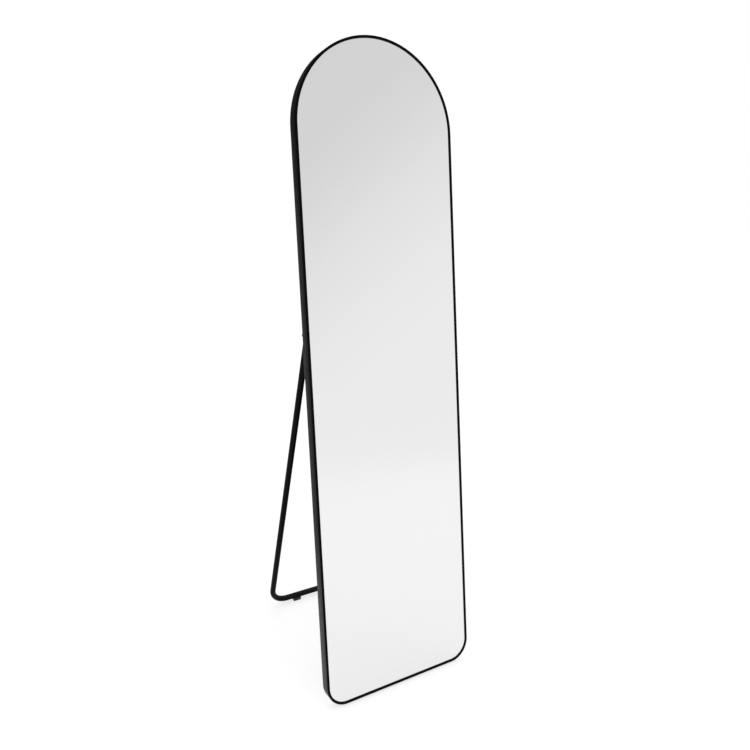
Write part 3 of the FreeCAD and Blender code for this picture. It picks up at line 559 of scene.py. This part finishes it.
def stand_in(mesh, name, node, body):
    """Puts a finished mesh in the scene in place of a CAD node."""
    thing = link(mesh, name)
    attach(thing, body)
    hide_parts(node)
    return thing


# ---------------------------------------------------------------- geometry nodes

def geometry_tree(name, inputs):
    """A geometry tree with named inputs, and its graph."""
    tree = bpy.data.node_groups.new(name, "GeometryNodeTree")
    for label, kind in (("Geometry", "NodeSocketGeometry"), *inputs):
        tree.interface.new_socket(name=label, in_out="INPUT", socket_type=kind)
    tree.interface.new_socket(name="Geometry", in_out="OUTPUT",
                              socket_type="NodeSocketGeometry")
    return open_tree(tree)


def close_tree(graph, geometry, material, out):
    """Ends a geometry tree with real geometry of one material."""
    real = graph.add("GeometryNodeRealizeInstances", {0: geometry})
    painted = graph.add("GeometryNodeSetMaterial",
                        {"Geometry": real.outputs[0], "Material": material})
    graph.join(painted.outputs[0], out[0])


def run_tree(tree_name, values, name, carrier=None):
    """The plain mesh that a geometry tree makes from the given inputs."""
    tree = bpy.data.node_groups[tree_name]
    holder = link(carrier or bpy.data.meshes.new(name), name + "_maker")
    modifier = holder.modifiers.new("maker", "NODES")
    modifier.node_group = tree
    for item in tree.interface.items_tree:
        if item.in_out == "INPUT" and item.name in values:
            modifier[item.identifier] = values[item.name]
    mesh = evaluated(holder)
    holder.modifiers.remove(modifier)
    bpy.data.objects.remove(holder)
    mesh.name = name
    if not mesh.polygons:
        raise RuntimeError(f"{name}: the tree made no faces")
    return mesh


def make_sweep_tree():
    """Sweeps a section along a rounded rectangle whose upper corners may differ."""
    graph, given, out = geometry_tree("rounded_sweep", [
        ("Width", FLOAT), ("Height", FLOAT), ("Lower radius", FLOAT),
        ("Upper radius", FLOAT), ("Section", "NodeSocketObject"),
        ("Material", "NodeSocketMaterial")])
    outline = graph.add("GeometryNodeCurvePrimitiveQuadrilateral",
                        {"Width": given["Width"], "Height": given["Height"]})
    place = graph.add("GeometryNodeInputPosition")
    height = graph.add("ShaderNodeSeparateXYZ", {0: place.outputs[0]}).outputs[1]
    above = graph.add("FunctionNodeCompare", {0: height, 1: 0.0}, data_type="FLOAT",
                      operation="GREATER_THAN").outputs[0]
    radius = graph.add("GeometryNodeSwitch", {
        0: above, 1: given["Lower radius"], 2: given["Upper radius"]}, input_type="FLOAT")
    rounded = graph.add("GeometryNodeFilletCurve", {
        "Curve": outline.outputs[0], "Count": 48, "Radius": radius.outputs[0]}, mode="POLY")
    upright = graph.add("GeometryNodeSetCurveNormal", {"Curve": rounded.outputs[0]},
                        mode="Z_UP")
    section = graph.add("GeometryNodeObjectInfo", {"Object": given["Section"]})
    swept = graph.add("GeometryNodeCurveToMesh", {
        "Curve": upright.outputs[0], "Profile Curve": section.outputs["Geometry"]})
    merged = graph.add("GeometryNodeMergeByDistance",
                       {"Geometry": swept.outputs[0], "Distance": 1e-6})
    close_tree(graph, merged.outputs[0], given["Material"], out)


def make_fastener_tree():
    """Puts one fastener at each point, along the point's facing and turned at random."""
    graph, given, out = geometry_tree("fasteners", [
        ("Fastener", "NodeSocketObject"), ("Head radius", FLOAT), ("Head height", FLOAT),
        ("Spin", FLOAT), ("Seed", "NodeSocketInt"), ("Material", "NodeSocketMaterial")])
    spots = graph.add("GeometryNodeMeshToPoints", {"Mesh": given["Geometry"]})
    facing = graph.add("GeometryNodeInputNamedAttribute", {"Name": "facing"},
                       data_type="FLOAT_VECTOR")
    aligned = graph.add("FunctionNodeAlignRotationToVector", {"Vector": facing.outputs[0]},
                        axis="Z")
    spin = graph.add("FunctionNodeRandomValue", {3: given["Spin"], "Seed": given["Seed"]},
                     data_type="FLOAT")
    turn = graph.add("FunctionNodeAxisAngleToRotation",
                     {"Axis": (0.0, 0.0, 1.0), "Angle": spin.outputs[1]})
    turned = graph.add("FunctionNodeRotateRotation",
                       {0: aligned.outputs[0], 1: turn.outputs[0]}, rotation_space="LOCAL")
    scale = graph.add("ShaderNodeCombineXYZ", {
        0: given["Head radius"], 1: given["Head radius"], 2: given["Head height"]})
    fastener = graph.add("GeometryNodeObjectInfo",
                         {"Object": given["Fastener"], "As Instance": True})
    placed = graph.add("GeometryNodeInstanceOnPoints", {
        "Points": spots.outputs[0], "Instance": fastener.outputs["Geometry"],
        "Rotation": turned.outputs[0], "Scale": scale.outputs[0]})
    close_tree(graph, placed.outputs[0], given["Material"], out)


def section_curve(points, name):
    """A closed curve object from flat points."""
    line = bpy.data.curves.new(name, "CURVE")
    line.dimensions = "2D"
    spline = line.splines.new("POLY")
    spline.points.add(len(points) - 1)
    for point, (x, y) in zip(spline.points, points):
        point.co = (x, y, 0, 1)
    spline.use_cyclic_u = True
    return link(line, name)


def rounded_outline(corners, steps=4):
    """Points of a closed outline whose corners (x, y, radius) are rounded."""
    points = []
    count = len(corners)
    for index, (x, y, radius) in enumerate(corners):
        here = Vector((x, y))
        if radius == 0:
            points.append((x, y))
            continue
        before = (Vector(corners[index - 1][:2]) - here).normalized()
        after = (Vector(corners[(index + 1) % count][:2]) - here).normalized()
        centre = here + (before + after) * radius
        start = here + before * radius - centre
        end = here + after * radius - centre
        for step in range(steps + 1):
            share = step / steps * math.pi / 2
            points.append(tuple(centre + start * math.cos(share) + end * math.sin(share)))
    return points


def clusters(node, reach=0.008):
    """The points of each separate solid of a CAD node, told apart by distance."""
    groups = []
    for vertex in NODES[node].data.vertices:
        for group in groups:
            if (vertex.co - group[0]).length < reach:
                group.append(vertex.co.copy())
                break
        else:
            groups.append([vertex.co.copy()])
    return groups


def seats(node, facing, head_height):
    """Where each screw head of a CAD node sits, on the screw's axis."""
    places = []
    for group in clusters(node):
        unique = {tuple(round(part, 6) for part in point): point for point in group}
        middle = sum(unique.values(), Vector()) / len(unique)
        top = max(point.dot(facing) for point in unique.values())
        places.append(middle + facing * (top - head_height - middle.dot(facing)))
    return places


def spots_mesh(places, facing, name):
    """Points that carry the direction they face."""
    mesh = bpy.data.meshes.new(name)
    mesh.from_pydata([tuple(place) for place in places], [], [])
    ways = mesh.attributes.new("facing", "FLOAT_VECTOR", "POINT")
    for item in ways.data:
        item.vector = facing
    return mesh


def cross_screw():
    """A pan head of unit radius and height with a cross recess, and its shank."""
    dome = [(0, 1.0), (0.3, 0.985), (0.55, 0.9), (0.76, 0.74), (0.91, 0.5), (0.985, 0.25),
            (1.0, 0.08), (0.97, 0.0), (0.5, 0.0), (0.5, -2.0), (0.3, -2.3), (0, -2.3)]
    blades = []
    for turn in (0.0, math.pi / 2):
        blade = bar(4, 0.78, 0.42, 1.3, taper=0.45)
        bmesh.ops.scale(blade, vec=(1.0, 0.24, 1.0), verts=blade.verts)
        bmesh.ops.rotate(blade, matrix=Matrix.Rotation(turn, 3, "Z"), verts=blade.verts)
        blades.append(("DIFFERENCE", blade))
    return carved(lathe(dome, steps=32), blades, "cross_screw")


def set_screws(name, node, facing, head, body, material):
    """Replaces a CAD node of plain screws with recessed ones on the same spots."""
    head_radius, head_height = head
    prototype = link(cross_screw(), "screw_pattern")
    places = seats(node, facing, head_height)
    mesh = run_tree("fasteners", {
        "Fastener": prototype, "Head radius": head_radius, "Head height": head_height,
        "Spin": math.pi, "Seed": sizes().screw_spin, "Material": material,
    }, name, spots_mesh(places, facing, name + "_spots"))
    bpy.data.objects.remove(prototype)
    smooth(mesh, 30.0)
    stand_in(mesh, name, node, body)


# ---------------------------------------------------------------- operators

class MirrorFrame(bpy.types.Operator):
    """Sweep the arched frame with rounded edges"""
    bl_idname = "mirror.frame"
    bl_label = "Frame"

    # how closely the sweep has to fit the solid frame's box
    tolerance = 0.0012
    # keeps the two rounded upper corners from meeting
    arch_gap = 0.00001
    flange_rounding = 0.0003
    lip_rounding = 0.0002
    face_rounding = 0.0004

    def execute(self, context):
        own = sizes()
        low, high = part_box("frame_profile")
        coat = coated("satin_black", finishes().frame_black, roughness=0.40,
                      specular=0.025, wear=0.04, dust=0.03, grain=3200.0, depth=0.00001,
                      grazing=0.24)
        curve = section_curve(self.section(own), "frame_section")
        mesh = run_tree("rounded_sweep", {
            "Width": own.panel_width, "Height": own.panel_height,
            "Lower radius": own.corner_radius,
            "Upper radius": own.panel_width / 2 - self.arch_gap,
            "Section": curve, "Material": coat,
        }, "arched_frame")
        bpy.data.objects.remove(curve)
        mesh.transform(Matrix.Translation((0, 0, own.panel_height / 2))
                       @ Matrix.Rotation(math.pi / 2, 4, "X"))
        mesh.transform(panel_place())
        for axis in range(3):
            reach = [vertex.co[axis] for vertex in mesh.vertices]
            error = max(abs(max(reach) - high[axis]), abs(min(reach) - low[axis]))
            if error > self.tolerance:
                raise RuntimeError("the swept frame doesn't match the solid one")
        shape = bmesh.new()
        shape.from_mesh(mesh)
        bmesh.ops.recalc_face_normals(shape, faces=shape.faces)
        shape.to_mesh(mesh)
        shape.free()
        smooth(mesh, 50.0)
        stand_in(mesh, "arched_frame", "frame_profile", PANEL)
        aluminium = plated("mill_aluminium", (0.70, 0.71, 0.72), roughness=0.3,
                           stretch=(0.04, 1.0, 1.0))
        dress(NODES["frame_splice"], aluminium)
        soften("frame_splice", 0.0003)
        return {"FINISHED"}

    def section(self, own):
        """The frame's section: x is 0 at the outer surface and y is 0 at the front."""
        depth, wall, soft = own.frame_depth, own.frame_wall, own.edge_rounding
        flange, face = own.flange_width, own.face_width
        points = rounded_outline([
            (0, 0, soft), (0, depth, soft), (flange, depth, self.flange_rounding),
            (flange, depth - wall, self.flange_rounding), (wall, depth - wall, 0.0),
            (wall, wall, 0.0), (face, wall, self.lip_rounding),
            (face, 0, self.face_rounding),
        ])
        return [(-x, y) for x, y in points]


class MirrorGlass(bpy.types.Operator):
    """Finish the silvered glass and the layers behind it"""
    bl_idname = "mirror.glass"
    bl_label = "Glass and layers"

    def execute(self, context):
        dress(NODES["mirror_glass"], mirror_material())
        dress(NODES["safety_film"], film_material())
        dress(NODES["cushion_sheet"], foam_material())
        dress(NODES["back_board"], board_material())
        return {"FINISHED"}


class MirrorScrews(bpy.types.Operator):
    """Set the recessed screws of the back, the hangers, the hinges and the feet"""
    bl_idname = "mirror.screws"
    bl_label = "Screws"

    def execute(self, context):
        black = plated("black_zinc_screws", (0.055, 0.055, 0.06), roughness=0.38,
                       wear=0.5)
        zinc = plated("bright_zinc_screws", finishes().zinc_grey, roughness=0.28)
        turn = panel_place().to_3x3()
        back = turn @ Vector((0, 1, 0))
        down = turn @ Vector((0, 0, -1))
        set_screws("board_screw_row", "board_screws", back, SMALL_HEAD,
                   PANEL, black)
        set_screws("hanger_screw_set", "hanger_screws", back, SMALL_HEAD,
                   PANEL, zinc)
        set_screws("splice_screw_pair", "splice_screws", down, SMALL_HEAD,
                   PANEL, black)
        for side in SIDES:
            set_screws(f"bracket_screw_set_{side}", f"bracket_screws_{side}", back,
                       BRACKET_HEAD, PANEL, black)
        set_screws("foot_screw_pair", "foot_screws", Vector((0, 0, -1)), FOOT_HEAD,
                   STAND, zinc)
        return {"FINISHED"}


class MirrorHinges(bpy.types.Operator):
    """Finish the hinge brackets and set their bolts, nuts, washers and spacers"""
    bl_idname = "mirror.hinges"
    bl_label = "Hinges"

    # how far a cutter runs past the end that it cuts
    past_end = 0.001

    def execute(self, context):
        steel = coated("bracket_powder_coat", finishes().tube_black, roughness=0.5,
                       specular=0.4, wear=0.5, dust=0.3)
        bolt_finish = plated("black_oxide_bolt", (0.05, 0.05, 0.055), roughness=0.33,
                             wear=0.6)
        nut_finish = plated("bright_zinc_nut", finishes().zinc_grey, roughness=0.26)
        nylon = moulded("nylon_spacer", (0.60, 0.59, 0.55), roughness=0.45, dust=0.1)
        for side, out in zip(SIDES, (-1.0, 1.0)):
            dress(NODES[f"hinge_bracket_{side}"], steel)
            soften(f"hinge_bracket_{side}", 0.0003)
            along = Vector((out, 0, 0))
            self.place_bolt(side, along, bolt_finish)
            self.place_nut(side, along, nut_finish)
            self.place_ring(f"pivot_washer_{side}", along, nut_finish, "zinc", 0.00015)
            self.place_ring(f"spacer_outer_{side}", along, nylon, "nylon", 0.00005)
            self.place_ring(f"spacer_inner_{side}", along, nylon, "nylon", 0.00005)
        return {"FINISHED"}

    def settle(self, mesh, name, node, along, slot, material):
        """Turns a piece drawn about Z to the hinge line, from the node's inner end on."""
        low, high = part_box(node)
        middle = (low + high) / 2
        start = low.x if along.x > 0 else high.x
        mesh.transform(Matrix.Translation((start, middle.y, middle.z))
                       @ along.to_track_quat("Z", "Y").to_matrix().to_4x4())
        dress(stand_in(mesh, name, node, PANEL), material)

    def place_bolt(self, side, along, material):
        """A button head with a hexagon socket."""
        node = f"pivot_bolt_{side}"
        low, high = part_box(node)
        head = 0.00275
        socket_depth = 0.0016
        socket_radius = 0.00173
        end = high.x - low.x
        seat = end - head
        profile = [(0, 0), (0.0021, 0), (BOLT_RADIUS, 0.0004), (BOLT_RADIUS, seat),
                   (0.0046, seat), (0.00475, seat + 0.0002), (0.0047, seat + 0.0008),
                   (0.0042, seat + 0.0017), (0.0034, seat + 0.0024), (0.0026, end),
                   (0, end)]
        socket = bar(6, socket_radius, end - socket_depth, end + self.past_end)
        mesh = carved(lathe(profile), [("DIFFERENCE", socket)], "hinge_bolt")
        self.settle(mesh, f"hinge_bolt_{side}", node, along, "bolt_black", material)

    def place_nut(self, side, along, material):
        """A hexagon nut with chamfered corners and a round collar."""
        node = f"lock_nut_{side}"
        low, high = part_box(node)
        end = high.x - low.x
        collar = 0.0012
        chamfer = 0.0004
        overlap = 0.0005
        flat = 0.0040
        corner = flat / math.cos(math.pi / 6)
        radius = 0.0036
        rim = [(0, 0), (0.0033, 0), (radius, 0.0003)]
        envelope = lathe([
            *rim, (radius, collar), (flat, collar), (corner, collar + chamfer),
            (corner, end - chamfer), (flat, end), (0, end)], steps=48)
        round_part = lathe([*rim, (radius, collar + overlap), (0, collar + overlap)],
                           steps=48)
        bore = bar(32, BORE_RADIUS, -self.past_end, end + self.past_end)
        steps = [("INTERSECT", envelope), ("UNION", round_part), ("DIFFERENCE", bore)]
        hexagon = bar(6, corner, collar, end, turn=math.pi / 6)
        mesh = carved(hexagon, steps, "hinge_nut", angle=25.0)
        self.settle(mesh, f"hinge_nut_{side}", node, along, "zinc", material)

    def place_ring(self, node, along, material, slot, chamfer):
        """A round ring of the node's size."""
        low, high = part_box(node)
        outer = (high.z - low.z) / 2
        shape = ring(outer, BORE_RADIUS, high.x - low.x, chamfer)
        mesh = from_bmesh(shape, node + "_round")
        self.settle(mesh, node + "_round", node, along, slot, material)


class MirrorHangers(bpy.types.Operator):
    """Finish the two keyhole plates"""
    bl_idname = "mirror.hangers"
    bl_label = "Wall hangers"

    def execute(self, context):
        zinc = plated("zinc_plate", finishes().zinc_grey, roughness=0.34,
                      stretch=(1.0, 1.0, 0.08))
        for side in SIDES:
            dress(NODES[f"wall_hanger_{side}"], zinc)
            soften(f"wall_hanger_{side}", 0.00025)
        return {"FINISHED"}


class MirrorStand(bpy.types.Operator):
    """Finish the tube stand and its end plugs"""
    bl_idname = "mirror.stand"
    bl_label = "Stand"

    def execute(self, context):
        coat = coated("tube_powder_coat", finishes().tube_black, roughness=0.42,
                      specular=0.06, wear=0.12, dust=0.1, grazing=0.16)
        dress(NODES["stand_tube"], coat)
        soften("stand_tube", 0.0001, segments=1, angle=40.0)
        plastic = moulded("plug_plastic", (0.018, 0.018, 0.019), roughness=0.42)
        for side in SIDES:
            dress(NODES[f"tube_cap_{side}"], plastic)
            soften(f"tube_cap_{side}", 0.0003)
        return {"FINISHED"}


class MirrorFeet(bpy.types.Operator):
    """Finish the rubber feet of the stand and the pads under the frame"""
    bl_idname = "mirror.feet"
    bl_label = "Feet and pads"

    def execute(self, context):
        rubber = moulded("foot_rubber", finishes().rubber_black, roughness=0.62,
                         grain=700.0, depth=0.0001)
        for side in SIDES:
            dress(NODES[f"stand_foot_{side}"], rubber)
            soften(f"stand_foot_{side}", 0.0006, segments=3)
            dress(NODES[f"base_pad_{side}"], rubber)
            soften(f"base_pad_{side}", 0.0003)
        return {"FINISHED"}


class MirrorStage(bpy.types.Operator):
    """Make the pale floor, the soft light and the camera"""
    bl_idname = "mirror.stage"
    bl_label = "Stage"

    floor_reach = 60.0
    # the floor's own light: straight on, and mirrored in front of and behind the panel
    direct_glow = 0.64
    front_glow = 0.59
    behind_glow = 0.05
    # how the studio that the glass mirrors darkens upwards, and how far it tilts sideways
    sky_levels = ((0.0, 0.966), (0.115, 0.935), (0.23, 0.877), (0.345, 0.795), (0.42, 0.76),
                  (0.5, 0.757), (1.0, 0.62))
    sky_tilt = -0.8
    sky_shift = 0.4
    # how much darker the mirrored studio is behind the panel than in front of it
    sky_dimming = 0.85
    studio_grey = (0.84, 0.84, 0.845)
    # name, place, size and power of each lamp
    lamps = (("key_panel", (-2.6, -2.4, 3.0), 2.0, 30.0),
             ("fill_panel", (2.8, -1.6, 2.6), 2.4, 14.0),
             ("back_panel", (0.4, 2.8, 2.8), 2.0, 10.0))
    lamp_aim = (0, 0, 0.7)
    camera_place = (-0.76322, -1.21157, 1.20725)
    camera_degrees = (74.111, -2.0214, -27.4414)

    def execute(self, context):
        self.make_floor()
        self.make_world()
        self.make_lights()
        self.make_camera()
        context.scene.view_settings.view_transform = "Standard"
        return {"FINISHED"}

    def make_floor(self):
        mesh = bpy.data.meshes.new("studio_floor")
        reach = self.floor_reach
        mesh.from_pydata([(-reach, -reach, 0), (reach, -reach, 0), (reach, reach, 0),
                          (-reach, reach, 0)], [], [(0, 1, 2, 3)])
        material = bpy.data.materials.new("pale_floor")
        material.use_nodes = True
        graph = Graph(material.node_tree)
        graph.tree.nodes.clear()
        place = graph.object_place()
        mottle = graph.spread(graph.noise(place, 3.0), 0.3, 0.7, 0.99, 1.0)
        tone = graph.blend(mottle, (0.0, 0.0, 0.0), finishes().floor_white)
        diffuse = graph.add("ShaderNodeBsdfDiffuse", {"Color": tone})
        seen = graph.add("ShaderNodeLightPath").outputs
        direct = graph.math("MAXIMUM", seen["Is Camera Ray"], seen["Is Transmission Ray"])
        along = graph.add("ShaderNodeSeparateXYZ", {0: place}).outputs[1]
        near = graph.spread(along, 0.05, 0.45, self.front_glow, self.behind_glow)
        mirrored = graph.math("MULTIPLY", seen["Is Glossy Ray"], near)
        strength = graph.math("ADD", graph.math("MULTIPLY", direct, self.direct_glow),
                              mirrored)
        glow = graph.add("ShaderNodeEmission", {"Color": (1, 1, 1), "Strength": strength})
        both = graph.add("ShaderNodeAddShader", {0: diffuse.outputs[0], 1: glow.outputs[0]})
        output = graph.add("ShaderNodeOutputMaterial")
        graph.join(both.outputs[0], output.inputs[0])
        floor = link(mesh, "studio_floor")
        dress(floor, material)

    def make_world(self):
        world = bpy.data.worlds.new("studio")
        bpy.context.scene.world = world
        world.use_nodes = True
        graph = Graph(world.node_tree)
        graph.tree.nodes.clear()
        way = graph.add("ShaderNodeTexCoord").outputs["Generated"]
        parts = graph.add("ShaderNodeSeparateXYZ", {0: way}).outputs
        aside = graph.add("ShaderNodeMath",
                          {0: parts[0], 1: self.sky_tilt, 2: self.sky_shift},
                          operation="MULTIPLY_ADD").outputs[0]
        ramp = graph.add("ShaderNodeValToRGB", {"Fac": graph.math("ADD", parts[2], aside)})
        stops = ramp.color_ramp.elements
        for place, level in self.sky_levels:
            stop = next((item for item in stops if item.position == place), None)
            stop = stop or stops.new(place)
            stop.color = (level, level, level, 1.0)
        dim = graph.spread(parts[1], -0.2, 0.8, 0.0, self.sky_dimming)
        sky = graph.blend(dim, ramp.outputs[0], (0.0, 0.0, 0.0))
        seen = graph.add("ShaderNodeLightPath").outputs
        shown = graph.blend(seen["Is Glossy Ray"], self.studio_grey, sky)
        shown = graph.blend(seen["Is Camera Ray"], shown, (1.0, 1.0, 1.0))
        shown = graph.blend(seen["Is Transmission Ray"], shown, (1.0, 1.0, 1.0))
        light = graph.add("ShaderNodeBackground", {"Color": shown, "Strength": 1.0})
        output = graph.add("ShaderNodeOutputWorld")
        graph.join(light.outputs[0], output.inputs[0])

    def make_lights(self):
        for name, place, size, power in self.lamps:
            lamp = bpy.data.lights.new(name, "AREA")
            lamp.shape = "SQUARE"
            lamp.size = size
            lamp.energy = power
            holder = link(lamp, name)
            holder.location = place
            holder.visible_glossy = False
            aim = Vector(self.lamp_aim) - Vector(place)
            holder.rotation_mode = "QUATERNION"
            holder.rotation_quaternion = aim.to_track_quat("-Z", "Y")

    def make_camera(self):
        view = bpy.data.cameras.new("photo_view")
        view.sensor_width = 36.0
        view.lens = 30.3176
        view.shift_x = 0.05638
        view.shift_y = -0.04172
        view.clip_start = 0.02
        view.clip_end = 250.0
        holder = link(view, "photo_view")
        holder.location = self.camera_place
        holder.rotation_euler = tuple(math.radians(part) for part in self.camera_degrees)
        bpy.context.scene.camera = holder


OPERATORS = (MirrorFrame, MirrorGlass, MirrorScrews, MirrorHinges, MirrorHangers,
             MirrorStand, MirrorFeet, MirrorStage)


class MirrorPanel(bpy.types.Panel):
    """Lists the mirror's sizes, finishes and steps"""
    bl_idname = "VIEW3D_PT_leaning_mirror"
    bl_label = "Leaning mirror"
    bl_space_type = "VIEW_3D"
    bl_region_type = "UI"
    bl_category = "Mirror"

    def draw(self, context):
        for group in (context.scene.mirror_sizes, context.scene.mirror_finishes):
            box = self.layout.box()
            for name in group.bl_rna.properties.keys():
                if name not in ("rna_type", "name"):
                    box.prop(group, name)
        for step in OPERATORS:
            self.layout.operator(step.bl_idname)


CLASSES = (MirrorSizes, MirrorFinishes, *OPERATORS, MirrorPanel)


def register():
    for made in CLASSES:
        bpy.utils.register_class(made)
    bpy.types.Scene.mirror_sizes = PointerProperty(type=MirrorSizes)
    bpy.types.Scene.mirror_finishes = PointerProperty(type=MirrorFinishes)


def unregister():
    del bpy.types.Scene.mirror_finishes
    del bpy.types.Scene.mirror_sizes
    for made in reversed(CLASSES):
        bpy.utils.unregister_class(made)


def main():
    register()
    make_groups()
    make_sweep_tree()
    make_fastener_tree()
    for step in OPERATORS:
        family, name = step.bl_idname.split(".")
        getattr(getattr(bpy.ops, family), name)()


if __name__ == "__main__":
    main()
